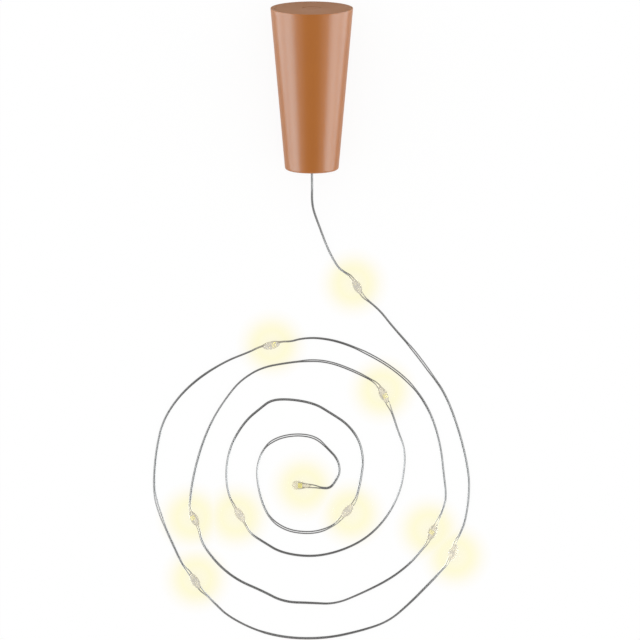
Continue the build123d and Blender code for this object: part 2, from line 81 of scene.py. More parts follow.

# %% [markdown]
# The wire's route. The real wire is one limp twin cable that lies on the table in an
# open inward spiral, with a light about every 75 mm. Its points were chosen along the
# photograph, and they are the control points of one smooth curve: the wire bends
# gently between them, as unevenly as the real one.
# Each light has two points on its axis, where its drop of resin lifts the wire. The
# first few points come down from the stopper, so they have a height too.

# %% The route's points
rest_height = 0.16 * mm
near_height = 0.7 * mm
light_height = 1.15 * mm

lead_points = [
    (0.1, -24, 6.1), (0, -27, 5), (0.3, -30, 3.2),
    (1.9, -34.5, 1), (3.8, -39.8, 0.16), (6.2, -44.3, 0.16),
    (7.9, -45.5, 0.7),
]
light_points = [
    [(9.8, -46.6), (12.2, -51.3)],
    [(34.9, -111.7), (33.4, -116.7)],
    [(-27.2, -123.4), (-29.9, -119.1)],
    [(-12.5, -63.6), (-7.4, -62.4)],
    [(30.5, -106.8), (28.4, -111.6)],
    [(-27.5, -108.2), (-29.9, -103.7)],
    [(16.3, -73.1), (18.6, -77.8)],
    [(-16.2, -107.2), (-19, -102.7)],
    [(10.4, -102), (7, -106)],
    [(0.5, -97.9), (-3.3, -97.7)],
]
stretch_points = [
    [(14, -52.7), (16.8, -55.2), (19.4, -58.6), (24.9, -64.8), (29.8, -71.5), (32, -74.7),
     (34.2, -79.6), (36.6, -87.1), (38.3, -95.1), (38.3, -100.7), (37.4, -106.6), (36.2, -109.8)],
    [(31.6, -118.8), (28.5, -122.2), (23.7, -127.1), (18.7, -131.4), (12.3, -133.6),
     (3.9, -135.5), (-5.1, -135.6), (-13, -133.9), (-20.4, -130.2), (-24, -126.6),
     (-25.6, -124.8)],
    [(-31.6, -117.4), (-33.4, -113.5), (-36.1, -107.5), (-38.4, -100.7), (-38.5, -95.1),
     (-37.7, -87.9), (-36.2, -81.8), (-32.6, -76.2), (-27.5, -71.4), (-20.9, -67.3), (-15.1, -65)],
    [(-5.1, -62.5), (-2.6, -61.8), (1.5, -61.6), (6.9, -62.6), (13.2, -65.2), (20, -69.2),
     (25.4, -74.2), (29.2, -80.5), (31.4, -88.2), (32.1, -94.8), (32.8, -100.7), (31.9, -104)],
    [(26.7, -113.8), (23.8, -117.3), (18.8, -121.1), (12, -124.5), (5.7, -127.1), (-0.2, -126.8),
     (-6.9, -126.6), (-12.2, -123.8), (-18, -121.3), (-22.6, -117.7), (-26.1, -113.2),
     (-27.2, -110.5)],
    [(-29.7, -101.4), (-29, -96.1), (-27, -88.3), (-23.9, -80.9), (-19.8, -74.9), (-17.1, -71.9),
     (-12.3, -68.9), (-5.7, -67.7), (0.4, -67.1), (4.9, -67.7), (9.9, -69.6), (14.2, -71.7)],
    [(19.6, -80), (20.9, -84.3), (22.6, -88.7), (22.6, -93.6), (21.5, -99.5), (18.3, -105.8),
     (13.4, -110.9), (6.9, -114.1), (0, -115.5), (-7.4, -114.5), (-11.8, -111.8), (-14.9, -109.7)],
    [(-20.2, -100.3), (-20.9, -96.5), (-20.7, -91.6), (-19.2, -86.7), (-16, -81.8),
     (-12.5, -78.9), (-9.8, -76.8), (-4.8, -76.7), (0.8, -77.8), (4.4, -80), (8.6, -82.7),
     (11.5, -86.6), (12.6, -91.6), (11.9, -96.4), (11.2, -99.6)],
    [(5.2, -107.7), (2.1, -109.2), (-1.6, -109.6), (-6.1, -108.9), (-10, -106.4), (-12.2, -102),
     (-13.4, -96.5), (-13.3, -92.5), (-11.5, -88.2), (-7.9, -86), (-3.1, -85.3), (1.1, -86.1),
     (3.9, -88.8), (6.3, -91.4), (6.9, -94.6), (5.7, -96.9), (4.4, -98.6), (2.1, -98.4)],
]

# %% [markdown]
# The stopper's own axes. It lies on its side, so its axis rises by the angle of its
# taper. Everything on it is shaped upright first, in a frame with z along that axis
# from the narrow end, and then laid down by this one matrix.

# %% Where the stopper lies
taper = radians(5.063)
stopper_length = 39.5 * mm
wide_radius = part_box("cork_shell")[1].x
narrow_radius = wide_radius - stopper_length * tan(taper)
axis = Vector((0, cos(taper), sin(taper)))
across = Vector((-1, 0, 0))
narrow_centre = Vector((0, -stopper_length / cos(taper) / 2, narrow_radius * cos(taper)))
stopper_frame = Matrix((across, axis.cross(across), axis)).transposed().to_4x4()
stopper_frame = Matrix.Translation(narrow_centre) @ stopper_frame
print("stopper radii", round(narrow_radius / mm, 2), round(wide_radius / mm, 2), "mm")

# %% [markdown]
# The smooth line. A NURBS curve of order 3 passes near its control points and keeps
# one bend flowing into the next. Asking Blender for its mesh gives the line as points,
# which the two strands and everything on the wire then follow.

# %% The route as one smooth line
line_steps = 10


def on_plan(x, y, height=0.0):
    """A place over the table: x and y are in millimetres and the height is in metres."""
    return Vector((x * mm, y * mm, height))


def route_controls():
    """The wire's control points in order, from the stopper's narrow end to the last light."""
    controls = [narrow_centre] + [Vector(point) * mm for point in lead_points]
    for i, ends in enumerate(light_points):
        controls += [on_plan(x, y, light_height) for x, y in ends]
        if i < len(stretch_points):
            last = len(stretch_points[i]) - 1
            for j, (x, y) in enumerate(stretch_points[i]):
                controls.append(on_plan(x, y, near_height if j in (0, last) else rest_height))
    return controls


def curve_mesh(kind, places, steps=line_steps, radius=0.0, roundness=2):
    """The mesh of a curve along these places: a line, or a round tube if it has a radius."""
    curve = bpy.data.curves.new("curve", "CURVE")
    curve.dimensions = "3D"
    curve.bevel_depth = radius
    curve.bevel_resolution = roundness
    curve.use_fill_caps = True
    spline = curve.splines.new(kind)
    spline.points.add(len(places) - 1)
    for point, place in zip(spline.points, places):
        point.co = (*place, 1)
    spline.order_u = 3
    spline.use_endpoint_u = True
    spline.resolution_u = steps
    holder = bpy.data.objects.new("curve", curve)
    mesh = bpy.data.meshes.new_from_object(holder)
    bpy.data.objects.remove(holder)
    bpy.data.curves.remove(curve)
    return mesh


def smooth_line(controls, steps=line_steps):
    """Points along the NURBS curve of order 3 that has these control points."""
    mesh = curve_mesh("NURBS", controls, steps)
    points = [v.co.copy() for v in mesh.vertices]
    bpy.data.meshes.remove(mesh)
    return points


def lengths_along(points):
    """The distance along a line of points from its start to each of them."""
    along = [0.0]
    for before, after in zip(points, points[1:]):
        along.append(along[-1] + (after - before).length)
    return along


path = smooth_line(route_controls())
path_lengths = lengths_along(path)
print("wire", len(path), "points,", round(path_lengths[-1] / mm, 1), "mm long")

# %% [markdown]
# Colours and finishes. Blender's shaders want linear values, while people read and
# compare colours as sRGB hex, so one function turns the second into the first. No real
# surface has one colour and one height all over, so two more let a pattern in the
# piece's own coordinates drift its colour and dent it.

# %% Colours and shader nodes
def colour(hex_text):
    """An sRGB colour such as #aa652d as the four linear values of a shader socket."""
    channels = [int(hex_text[i:i + 2], 16) / 255 for i in (1, 3, 5)]
    linear = [c / 12.92 if c <= 0.04045 else ((c + 0.055) / 1.055) ** 2.4 for c in channels]
    return (*linear, 1.0)


def add_node(tree, kind, inputs=None, **settings):
    """Add a shader node, set its properties, and fill its inputs with values or links."""
    made = tree.nodes.new(kind)
    for name, value in settings.items():
        setattr(made, name, value)
    for name, value in (inputs or {}).items():
        if isinstance(value, bpy.types.NodeSocket):
            tree.links.new(value, made.inputs[name])
        else:
            made.inputs[name].default_value = value
    return made


def empty_material(name):
    """A material with its node tree cleared, and its output node."""
    material = bpy.data.materials.new(name)
    material.use_nodes = True
    material.node_tree.nodes.clear()
    output = add_node(material.node_tree, "ShaderNodeOutputMaterial")
    return material, material.node_tree, output


def surface(name, base, roughness, **sockets):
    """A material with one Principled shader: its base colour and fixed socket values."""
    material, tree, output = empty_material(name)
    values = {"Base Color": colour(base), "Roughness": roughness, **sockets}
    shader = add_node(tree, "ShaderNodeBsdfPrincipled", values)
    tree.links.new(shader.outputs["BSDF"], output.inputs["Surface"])
    return material, tree, shader


def grain(tree, size, detail=3.0):
    """Noise in object coordinates whose features are about this size in metres."""
    where = add_node(tree, "ShaderNodeTexCoord")
    values = {"Vector": where.outputs["Object"], "Scale": 1 / size, "Detail": detail}
    return add_node(tree, "ShaderNodeTexNoise", values)


def drift(tree, shader, pattern, first, second):
    """Let the base colour drift between two colours as the pattern goes from 0 to 1."""
    # a Mix node that mixes colours uses its sockets 0, 6 and 7 and its output 2
    values = {0: pattern, 6: colour(first), 7: colour(second)}
    mixed = add_node(tree, "ShaderNodeMix", values, data_type="RGBA").outputs[2]
    tree.links.new(mixed, shader.inputs["Base Color"])
    return mixed


def dented(tree, shader, pattern, depth, strength):
    """Let a pattern dent the surface by about this depth in metres."""
    values = {"Height": pattern, "Distance": depth, "Strength": strength}
    bump = add_node(tree, "ShaderNodeBump", values)
    tree.links.new(bump.outputs["Normal"], shader.inputs["Normal"])


def grained(name, base, roughness, size, tints=None, dent=None, **sockets):
    """A finish with one pattern of this size, which drifts its colour, dents it, or both."""
    material, tree, shader = surface(name, base, roughness, **sockets)
    pattern = grain(tree, size).outputs["Fac"]
    if tints:
        drift(tree, shader, pattern, *tints)
    if dent:
        dented(tree, shader, pattern, *dent)
    return material


# %% [markdown]
# The floor. It is plain white, and each light throws a soft pale yellow glow on it. The
# photograph shows that glow as a round haze about 16 mm across, even in the middle and
# soft at its rim, wider than the tiny chip could light by itself. So the floor's own
# colour carries it: a ramp over the distance to the closest light, as a share of how
# far that light reaches. Each glow's middle is shifted a little from its drop. Reaches
# and shifts are in millimetres. Most of the floor's brightness is a plain white that
# the camera and the clear resin see. The rest is lit and keeps the shadows, which the
# stopper's rims mirror.

# %% The floor with its glows
floor_half = 2.0
floor_plain_share = 0.9
glow_reaches = (9.0,) * len(light_points)
glow_ramp = [
    (0.0, "#fffae4"), (0.2, "#fffbe0"), (0.4, "#fffbd9"), (0.54, "#fffbe2"),
    (0.65, "#fffcec"), (0.76, "#fffdf5"), (0.88, "#fffefb"), (1.0, "#ffffff"),
]
glow_shifts = [
    (-0.9, 0.6), (0.9, -1.1), (0.3, 0.4), (0.2, -0.3), (-0.9, 0.5),
    (-0.7, 0.2), (-0.3, 0.9), (-0.9, -0.6), (0.9, -0.8), (-0.6, -0.3),
]


def light_centre(index):
    """The middle of a light's drop, on the table."""
    before, after = (on_plan(*end) for end in light_points[index])
    return (before + after) / 2


def seen_rays(tree, *kinds):
    """1 for camera rays and for rays of these other kinds, and 0 for all the rest."""
    rays = add_node(tree, "ShaderNodeLightPath")
    seen = rays.outputs["Is Camera Ray"]
    for kind in kinds:
        values = {0: seen, 1: rays.outputs[kind]}
        seen = add_node(tree, "ShaderNodeMath", values, operation="MAXIMUM").outputs[0]
    return seen


def to_nearest_light(tree, shifts, reaches):
    """The distance to the closest light, as a share of how far that light reaches."""
    place = add_node(tree, "ShaderNodeTexCoord").outputs["Object"]
    nearest = 1.0
    for i, (shift, reach) in enumerate(zip(shifts, reaches)):
        values = {0: place, 1: light_centre(i) + on_plan(*shift)}
        away = add_node(tree, "ShaderNodeVectorMath", values, operation="DISTANCE").outputs["Value"]
        values = {0: away, 1: reach * mm}
        share = add_node(tree, "ShaderNodeMath", values, operation="DIVIDE").outputs[0]
        values = {0: nearest, 1: share}
        nearest = add_node(tree, "ShaderNodeMath", values, operation="MINIMUM").outputs[0]
    return nearest


def ramp(tree, share, stops):
    """A colour that follows the stops, pairs of a position and a colour, as share rises."""
    made = add_node(tree, "ShaderNodeValToRGB", {"Fac": share})
    elements = made.color_ramp.elements
    while len(elements) < len(stops):
        elements.new(1.0)
    for element, (position, tint) in zip(elements, stops):
        element.position = position
        element.color = colour(tint)
    return made.outputs["Color"]


def floor_finish():
    """A smooth white table, with the glow of every light in its colour."""
    material, tree, output = empty_material("white table")
    tint = ramp(tree, to_nearest_light(tree, glow_shifts, glow_reaches), glow_ramp)
    lit = add_node(tree, "ShaderNodeBsdfDiffuse", {"Color": tint})
    plain = add_node(tree, "ShaderNodeEmission", {"Color": tint, "Strength": 1.0})
    values = {0: seen_rays(tree, "Is Transmission Ray"), 1: floor_plain_share}
    share = add_node(tree, "ShaderNodeMath", values, operation="MULTIPLY").outputs[0]
    mix = add_node(tree, "ShaderNodeMixShader", {0: share, 1: lit.outputs[0], 2: plain.outputs[0]})
    tree.links.new(mix.outputs[0], output.inputs["Surface"])
    return material


def mesh_of(bm, place=None):
    """A bmesh as a mesh, moved into its place, and the bmesh freed."""
    if place is not None:
        bmesh.ops.transform(bm, matrix=place, verts=bm.verts)
    mesh = bpy.data.meshes.new("mesh")
    bm.to_mesh(mesh)
    bm.free()
    return mesh


bm = bmesh.new()
bmesh.ops.create_grid(bm, x_segments=1, y_segments=1, size=floor_half)
floor_mesh = mesh_of(bm)
floor_mesh.materials.append(floor_finish())
floor = bpy.data.objects.new("floor", floor_mesh)
bpy.context.scene.collection.objects.link(floor)
print("floor with", len(light_points), "glows")

# %% [markdown]
# The light. The picture has no shadow to speak of: a pale surround lights everything
# about evenly. The two broad soft streaks along the stopper, a fifth in from each side,
# are white panels mirrored in its gloss. One pair stands on the table to its left and
# right, a weak pair above it makes the streaks fade towards the middle, and another
# pair lies flat on the table before them. Only reflections see the six. Stretches of
# wire that run the same way mirror them too, so they look brighter than stretches that
# run across. The ceiling is dimmer.

# %% The panels and the surround
panel_tint = "#f4fbff"
panel_looks = [
    {"size": (0.38, 0.7), "place": (0.6, -0.12, 0.19), "turn": radians(67), "power": 5.3},
    {"size": (0.36, 0.7), "place": (0.5, -0.12, 0.55), "turn": radians(42), "power": 0.9},
    {"size": (0.28, 0.5), "place": (0.17, -0.05, 0.0006), "turn": radians(180), "power": 1.7},
]
surround_strength = 1.0
ceiling_shade = 0.45
ceiling_edge = 0.55


def add_panel(name, size, place, turn, power):
    """Put a glowing rectangle, which only reflections see, in the scene."""
    lamp = bpy.data.lights.new(name, "AREA")
    lamp.shape = "RECTANGLE"
    lamp.size, lamp.size_y = size
    lamp.energy = power
    lamp.color = colour(panel_tint)[:3]
    panel = bpy.data.objects.new(name, lamp)
    panel.location = place
    panel.rotation_euler = (0, turn, 0)
    panel.visible_camera = False
    panel.visible_diffuse = False
    panel.visible_transmission = False
    bpy.context.scene.collection.objects.link(panel)


for i, look in enumerate(panel_looks):
    x, y, z = look["place"]
    for side, side_name in ((-1, "left"), (1, "right")):
        add_panel(f"{side_name} panel {i + 1}", look["size"], (side * x, y, z),
                  side * look["turn"], look["power"])

world = bpy.data.worlds.new("surround")
world.use_nodes = True
world.node_tree.nodes.clear()
sky = world.node_tree
white = colour("#ffffff")
gathered = add_node(sky, "ShaderNodeBackground", {"Color": white, "Strength": surround_strength})
# the way back along a ray that goes straight up has a Z of -1
way_back = add_node(sky, "ShaderNodeNewGeometry").outputs["Incoming"]
dip = add_node(sky, "ShaderNodeSeparateXYZ", {"Vector": way_back}).outputs["Z"]
values = {"Value": dip, "From Min": -1.0, "From Max": -ceiling_edge,
          "To Min": ceiling_shade, "To Max": 1.0}
ceiling = add_node(sky, "ShaderNodeMapRange", values, interpolation_type="SMOOTHSTEP")
values = {"Color": white, "Strength": ceiling.outputs["Result"]}
shown = add_node(sky, "ShaderNodeBackground", values)
seen = seen_rays(sky, "Is Glossy Ray", "Is Transmission Ray")
mix = add_node(sky, "ShaderNodeMixShader", {0: seen, 1: gathered.outputs[0], 2: shown.outputs[0]})
add_node(sky, "ShaderNodeOutputWorld", {"Surface": mix.outputs[0]})
bpy.context.scene.world = world
print("panels", 2 * len(panel_looks))

# %% [markdown]
# A finished piece. Each piece is a mesh whose points are already in their place. It is
# shaded smooth, but edges sharper than an angle stay crisp. It is told which CAD body
# carries it, which CAD nodes it stands for and which finish of the record it has. The
# two leads that stretch between bodies ride on none.

# %% Making a piece from a mesh
crisp_angle = radians(35)


def add_piece(name, mesh, body, materials, stands_for):
    """Put a mesh in the scene as a piece of the object."""
    mesh.name = name
    for material in materials:
        mesh.materials.append(material)
    mesh.shade_smooth()
    mesh.set_sharp_from_angle(angle=crisp_angle)
    piece = bpy.data.objects.new(name, mesh)
    bpy.context.scene.collection.objects.link(piece)
    if body is not None:
        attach(piece, body)
    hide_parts(*stands_for)
    return piece


# %% [markdown]
# The wire's finish. The real wire is fine copper with a silver-coloured enamel, which
# looks like brushed tin: mid grey where it mirrors the surround, brighter where it
# catches a panel. It is a metal under a clear skin, so it is modelled as metal of
# middling roughness whose grey drifts a little along the wire. Close to a light it is
# washed out by that light, so there it is paler and warmer, and less of a mirror. How
# far that reaches is given for each light in millimetres.

# %% Silver enamelled wire
wire_glow_reaches = (4.5, 4.5, 2, 5.5, 5, 5, 5.5, 6, 5, 3)
wire_glow = [(0.0, "#ffffff"), (0.45, "#e0e0e0"), (1.0, "#000000")]
mirror_loss = 0.8


def wire_finish():
    """Silver-coloured enamelled copper, drawn through a die."""
    material, tree, shader = surface("silver enamelled copper", "#7e7d7c", 0.3)
    pattern = grain(tree, 2.5 * mm).outputs["Fac"]
    plain = drift(tree, shader, pattern, "#777675", "#868584")
    unshifted = [(0, 0)] * len(light_points)
    lit = ramp(tree, to_nearest_light(tree, unshifted, wire_glow_reaches), wire_glow)
    values = {0: lit, 6: plain, 7: colour("#b8b1a0")}
    shade = add_node(tree, "ShaderNodeMix", values, data_type="RGBA").outputs[2]
    tree.links.new(shade, shader.inputs["Base Color"])
    values = {0: lit, 1: -mirror_loss, 2: 1.0}
    mirror = add_node(tree, "ShaderNodeMath", values, operation="MULTIPLY_ADD").outputs[0]
    tree.links.new(mirror, shader.inputs["Metallic"])
    return material


wire_enamel = wire_finish()

# %% [markdown]
# The twin wire. Two round strands run side by side as one cable. Seen from above they
# hide each other where one lies over the other, and show as two lines where they lie
# flat: on both sides of every light, which holds them apart, and in a few loose
# stretches of the spiral. So each strand is the smooth line moved aside by a distance
# and an angle that change along the wire. The splays say how far each strand lies from
# the middle at each light, and how far from the light the gap starts and stops closing.
# The list of rolls says how far the pair is turned over, in degrees, at distances along
# it. Blender's curve bevel makes each strand round.

# %% The twin wire
strand_radius = 0.15 * mm
touching_half = 0.155 * mm
chip_half = 0.42 * mm
chip_reach = (0.6 * mm, 2.2 * mm)
splay_halves = (0.34, 0.3, 0.38, 0.22, 0.38, 0.25, 0.46, 0.22, 0.36, 0.36)
splay_start = 1.0
splay_ends = (5.4, 5.4, 5.4, 2.8, 5.4, 4.8, 5.4, 4.4, 5.4, 3.8)
loose_spans = [
    ((-12, -88.5), (4.5, -87.6), 0.24 * mm),
    ((-10.6, -105.8), (4.6, -107.5), 0.24 * mm),
    ((-3.5, -66), (14.3, -70.4), 0.2 * mm),
    ((-12.6, -133.7), (4.4, -133.7), 0.16 * mm),
    ((10.4, -64), (25, -75), 0.24 * mm),
    ((23, -62.8), (30, -71.5), 0.23 * mm),
    ((-35.8, -108.5), (-38.5, -98.5), 0.25 * mm),
]
loose_fade = 3.0 * mm
weld = 0.001 * mm
pair_rolls = [
    (0, 30), (45, 45), (60, 5), (80, 10), (95, 40), (119, 5), (131, 60), (145, 25), (168, 60),
    (205, 0), (230, 40), (240, 20), (248, 50), (266, 50), (280, 10), (300, 10), (315, 35),
    (352, 45), (364, 65), (378, 5), (425, 5), (440, 60), (462, 45), (474, 5), (498, 50),
    (511, 55), (523, 50), (547, 30), (572, 45), (595, 5), (658, 0), (670, 60), (694, 20),
    (715, 20),
]


def length_near(place):
    """How far along the wire it comes nearest to a place, as seen from above."""
    nearest = min(range(len(path)), key=lambda i: (path[i] - place).xy.length)
    return path_lengths[nearest]


def faded(value, start, end):
    """A smooth step from 1 before start to 0 after end."""
    share = min(max((value - start) / (end - start), 0), 1)
    return 1 - share * share * (3 - 2 * share)


light_lengths = [length_near(light_centre(i)) for i in range(len(light_points))]
span_lengths = []
for *ends, half in loose_spans:
    start, end = sorted(length_near(on_plan(*place)) for place in ends)
    span_lengths.append((start, end, half))


def spread_at(length):
    """How far each strand lies from the wire's middle here, and how flat the pair lies."""
    nearest = min(range(len(light_lengths)), key=lambda i: abs(length - light_lengths[i]))
    from_light = abs(length - light_lengths[nearest])
    flat = faded(from_light, splay_start * mm, splay_ends[nearest] * mm)
    at_chip = (chip_half - touching_half) * faded(from_light, *chip_reach)
    half = touching_half + max(at_chip, (splay_halves[nearest] * mm - touching_half) * flat)
    for start, end, span_half in span_lengths:
        from_middle = abs(length - (start + end) / 2)
        loose = faded(from_middle, (end - start) / 2 - loose_fade, (end - start) / 2)
        half = max(half, touching_half + (span_half - touching_half) * loose)
        flat = max(flat, loose)
    return half, flat


def roll_at(length):
    """The angle that the pair is rolled by here: it is 0 where they lie side by side."""
    for (start, first), (end, last) in zip(pair_rolls, pair_rolls[1:]):
        if length <= end * mm:
            return radians(last + (first - last) * faded(length, start * mm, end * mm))
    return radians(pair_rolls[-1][1])


def strand_line(side):
    """The points of one strand: the wire's line, moved aside, rolled and set on the table."""
    points = []
    for i, (place, length) in enumerate(zip(path, path_lengths)):
        along = path[min(i + 1, len(path) - 1)] - path[max(i - 1, 0)]
        aside = Vector((-along.y, along.x, 0)).normalized()
        half, flat = spread_at(length)
        roll = (1 - flat) * roll_at(length)
        rise = strand_radius + half * abs(sin(roll)) - rest_height
        offset = aside * (side * half * cos(roll)) + Vector((0, 0, side * half * sin(roll) + rise))
        points.append(place + offset)
    return points


def tube(points, radius, roundness=2):
    """A round tube along points, made by a curve's bevel."""
    return curve_mesh("POLY", points, radius=radius, roundness=roundness)


bm = bmesh.new()
for side in (-1, 1):
    strand = tube(strand_line(side), strand_radius)
    bm.from_mesh(strand)
    bpy.data.meshes.remove(strand)
bmesh.ops.remove_doubles(bm, verts=bm.verts, dist=weld)
twin_wire = add_piece(
    "twin_wire", mesh_of(bm), "stopper", [wire_enamel],
    ["wire_strand_left", "wire_strand_right"])
print("twin_wire", len(twin_wire.data.polygons), "faces")

# %% [markdown]
# The drops. Each light is a drop of clear epoxy that was put on by a needle and cured
# where it ran along the two strands: a long bead, thick in the middle, drawn out to
# the wire at both ends, flatter where it lies on the table. The resin is faintly
# beige and not quite clear. A sphere is stretched along the wire and drawn in towards
# its ends, and a little noise makes each drop its own. Each has its own length and
# radius, and two hang to one side of the wire.

# %% Cast epoxy
def resin_finish(name, transmission, roughness, lit):
    """Cast epoxy, slightly yellowed, milky where air was stirred in, lit from within."""
    return grained(
        name, "#f1ece2", roughness, 1.5 * mm, ("#f6f1e6", "#e9e4d4"),
        **{"Transmission Weight": transmission, "IOR": 1.35, "Specular IOR Level": 0.1,
           "Emission Color": colour("#fff0d4"), "Emission Strength": lit})


milky_resin = resin_finish("milky epoxy", 0.4, 0.5, 0.0)
bright_resin = resin_finish("milky epoxy, brightly lit", 0.4, 0.5, 0.05)
hazy_resin = resin_finish("hazy epoxy", 0.52, 0.4, 0.02)
clear_resin = resin_finish("clear epoxy", 0.76, 0.2, 0.0)
drop_resins = [
    milky_resin, bright_resin, milky_resin, milky_resin, hazy_resin, hazy_resin, hazy_resin,
    bright_resin, bright_resin, clear_resin,
]

# %% The drops of resin
drop_sizes = [
    (4.3, 0.95), (4.6, 1.1), (4.5, 1.0), (4.4, 0.95), (4.2, 1.05),
    (4.3, 1.0), (4.5, 1.0), (4.3, 1.0), (4.2, 1.0),
]
side_shifts = (0, 0.35, 0, -0.4, 0, 0, 0, 0, 0, 0)
end_drop_length = 4.8 * mm
end_drop_radius = 1.1 * mm
end_drop_widest = 2.3 * mm
end_drop_taper = 1.6
drop_sides = 32
drop_rings = 24
drop_draw = 0.22
drop_flat_depth = 0.97 * light_height
drop_unevenness = 0.06
noise_scale = 1.3
noise_step = 7.1


def light_frame(index):
    """A light's own frame: x along the wire, z up, its origin in the drop's middle."""
    before, after = (on_plan(*end, light_height) for end in light_points[index])
    along = (after - before).normalized()
    aside = Vector((-along.y, along.x, 0))
    turned = Matrix((along, aside, Vector((0, 0, 1)))).transposed().to_4x4()
    middle = (before + after) / 2 + aside * side_shifts[index] * mm
    return Matrix.Translation(middle) @ turned


def lying_sphere():
    """A sphere of radius 1 with its poles on x."""
    bm = bmesh.new()
    bmesh.ops.create_uvsphere(bm, u_segments=drop_sides, v_segments=drop_rings, radius=1)
    bmesh.ops.rotate(bm, verts=bm.verts, cent=(0, 0, 0), matrix=Matrix.Rotation(pi / 2, 3, "Y"))
    return bm


def drop_mesh(index, length, radius):
    """A drop on the wire: a sphere stretched along x and drawn in at its ends."""
    bm = lying_sphere()
    for v in bm.verts:
        t = v.co.x
        drawn_in = max(1 - t * t, 0) ** drop_draw
        waves = noise.noise(v.co * noise_scale + Vector((noise_step * index, 0, 0)))
        across = radius * drawn_in * (1 + drop_unevenness * waves)
        v.co = Vector((t * length / 2, v.co.y * across, max(v.co.z * across, -drop_flat_depth)))
    return mesh_of(bm, light_frame(index))


def end_drop_mesh(index):
    """The last drop: a taper from the wire to a round free end."""
    bm = lying_sphere()
    for v in bm.verts:
        t = v.co.x
        reach = end_drop_radius
        across = end_drop_radius
        if t < 0:
            reach = end_drop_length - end_drop_radius
            sphere_radius = max(1 - t * t, 1e-6) ** 0.5
            across *= (1 - abs(t) ** end_drop_taper) / sphere_radius
        v.co = Vector((end_drop_widest + t * reach, v.co.y * across, v.co.z * across))
    return mesh_of(bm, light_frame(index))


for i in range(len(light_points)):
    if i < len(drop_sizes):
        mesh = drop_mesh(i, *(size * mm for size in drop_sizes[i]))
    else:
        mesh = end_drop_mesh(i)
    add_piece(
        f"resin_drop_{i + 1:02d}", mesh, "stopper", [drop_resins[i]],
        [f"led_bead_{i + 1:02d}"])

# %% [markdown]
# The chips. A surface-mount chip lies across both strands inside its drop: a small
# white ceramic carrier with a pad at each end, and a block of yellow phosphor gel over
# the diode. Solder joins each pad to its strand. Some chips were soldered face up and
# shine yellow through the resin. The others face the table. A few sit off the middle
# of their drop.

# %% Phosphor, ceramic and solder
# phosphor in silicone gel: soft yellow, faintly lit from behind
phosphor_gel = grained(
    "phosphor gel", "#e9e064", 0.5, 0.2 * mm, ("#ece470", "#e5db56"),
    **{"Emission Color": colour("#e6e05a"), "Emission Strength": 0.3})
# fired ceramic: white and matt
white_ceramic = grained("white ceramic", "#e9e6dc", 0.6, 0.1 * mm, dent=(0.01 * mm, 0.3))
# reflowed solder: bright and slightly wavy
solder = grained("solder", "#b9b7b0", 0.28, 0.25 * mm, dent=(0.02 * mm, 0.5), Metallic=1.0)
chip_materials = [phosphor_gel, white_ceramic, solder]

# %% The chips
chip_across = 1.3 * mm
chip_along = 1.1 * mm
chip_height = 0.5 * mm
chip_gap = 0.01 * mm
carrier_height = 0.18 * mm
pad_width = 0.1 * mm
pad_length = 0.9 * chip_along
pad_height = 1.6 * carrier_height
gel_margin = 0.04 * mm
carrier_rounding = 0.03 * mm
pad_rounding = 0.05 * mm
gel_rounding = 0.1 * mm
rounding_steps = 3
chip_shifts = [
    (0, 0), (0, 0), (0, 0), (0.65, -0.35), (0.1, -0.2),
    (0.4, 0.2), (0.4, 0.2), (0, 0), (0, 0), (1.5, 0),
]
chips_face_down = (0, 1, 2, 7, 8)


def add_block(bm, size, foot, material_index, rounding):
    """Add a block with rounded edges to a bmesh, with the middle of its foot at a place."""
    before = set(bm.verts)
    made = bmesh.ops.create_cube(bm, size=1)
    bmesh.ops.scale(bm, vec=size, verts=made["verts"])
    bmesh.ops.translate(bm, vec=Vector(foot) + Vector((0, 0, size[2] / 2)), verts=made["verts"])
    edges = {e for v in made["verts"] for e in v.link_edges}
    bmesh.ops.bevel(bm, geom=list(edges), offset=rounding, offset_type="OFFSET",
                    segments=rounding_steps, profile=0.5, affect="EDGES", material=-1)
    for v in set(bm.verts) - before:
        for face in v.link_faces:
            face.material_index = material_index


def chip_mesh(index):
    """A chip's carrier, pads, gel and solder, face up or face down on the strands."""
    bm = bmesh.new()
    foot = strand_radius + chip_gap
    gel_across = chip_across - 2 * pad_width - gel_margin
    gel_height = chip_height - carrier_height
    add_block(bm, (chip_along, chip_across, carrier_height), (0, 0, foot), 1, carrier_rounding)
    add_block(bm, (chip_along - gel_margin, gel_across, gel_height),
              (0, 0, foot + carrier_height), 0, gel_rounding)
    for side in (-1, 1):
        place = side * (chip_across - pad_width) / 2
        add_block(bm, (pad_length, pad_width, pad_height), (0, place, foot), 2, pad_rounding)
    if index in chips_face_down:
        bmesh.ops.rotate(bm, verts=bm.verts, cent=(0, 0, 0), matrix=Matrix.Rotation(pi, 3, "X"))
    along, aside = chip_shifts[index]
    shift = Vector((along, aside - side_shifts[index], 0)) * mm
    return mesh_of(bm, light_frame(index) @ Matrix.Translation(shift))


for i in range(len(light_points)):
    add_piece(
        f"light_chip_{i + 1:02d}", chip_mesh(i), "stopper", chip_materials,
        [f"led_chip_{i + 1:02d}"])

# %% [markdown]
# The stopper's finish. The real stopper is moulded in glossy brown plastic, ABS by the
# look of it, coloured to pass for cork from a distance. The sides are polished and
# mirror the panels as soft streaks, a little cooler than the panels themselves. The wide
# end is duller and greyer, as moulded.

# %% Brown ABS
def brown_finish(name, light, dark, roughness, specular, dent):
    """Moulded brown ABS whose colour drifts a little where the melt flowed."""
    material, tree, shader = surface(
        name, light, roughness,
        **{"IOR": 1.5, "Specular IOR Level": specular, "Specular Tint": colour("#aaecff")})
    flow = grain(tree, 9 * mm).outputs["Fac"]
    drift(tree, shader, flow, light, dark)
    fine = grain(tree, 0.35 * mm).outputs["Fac"]
    dented(tree, shader, fine, dent, 0.3)
    return material


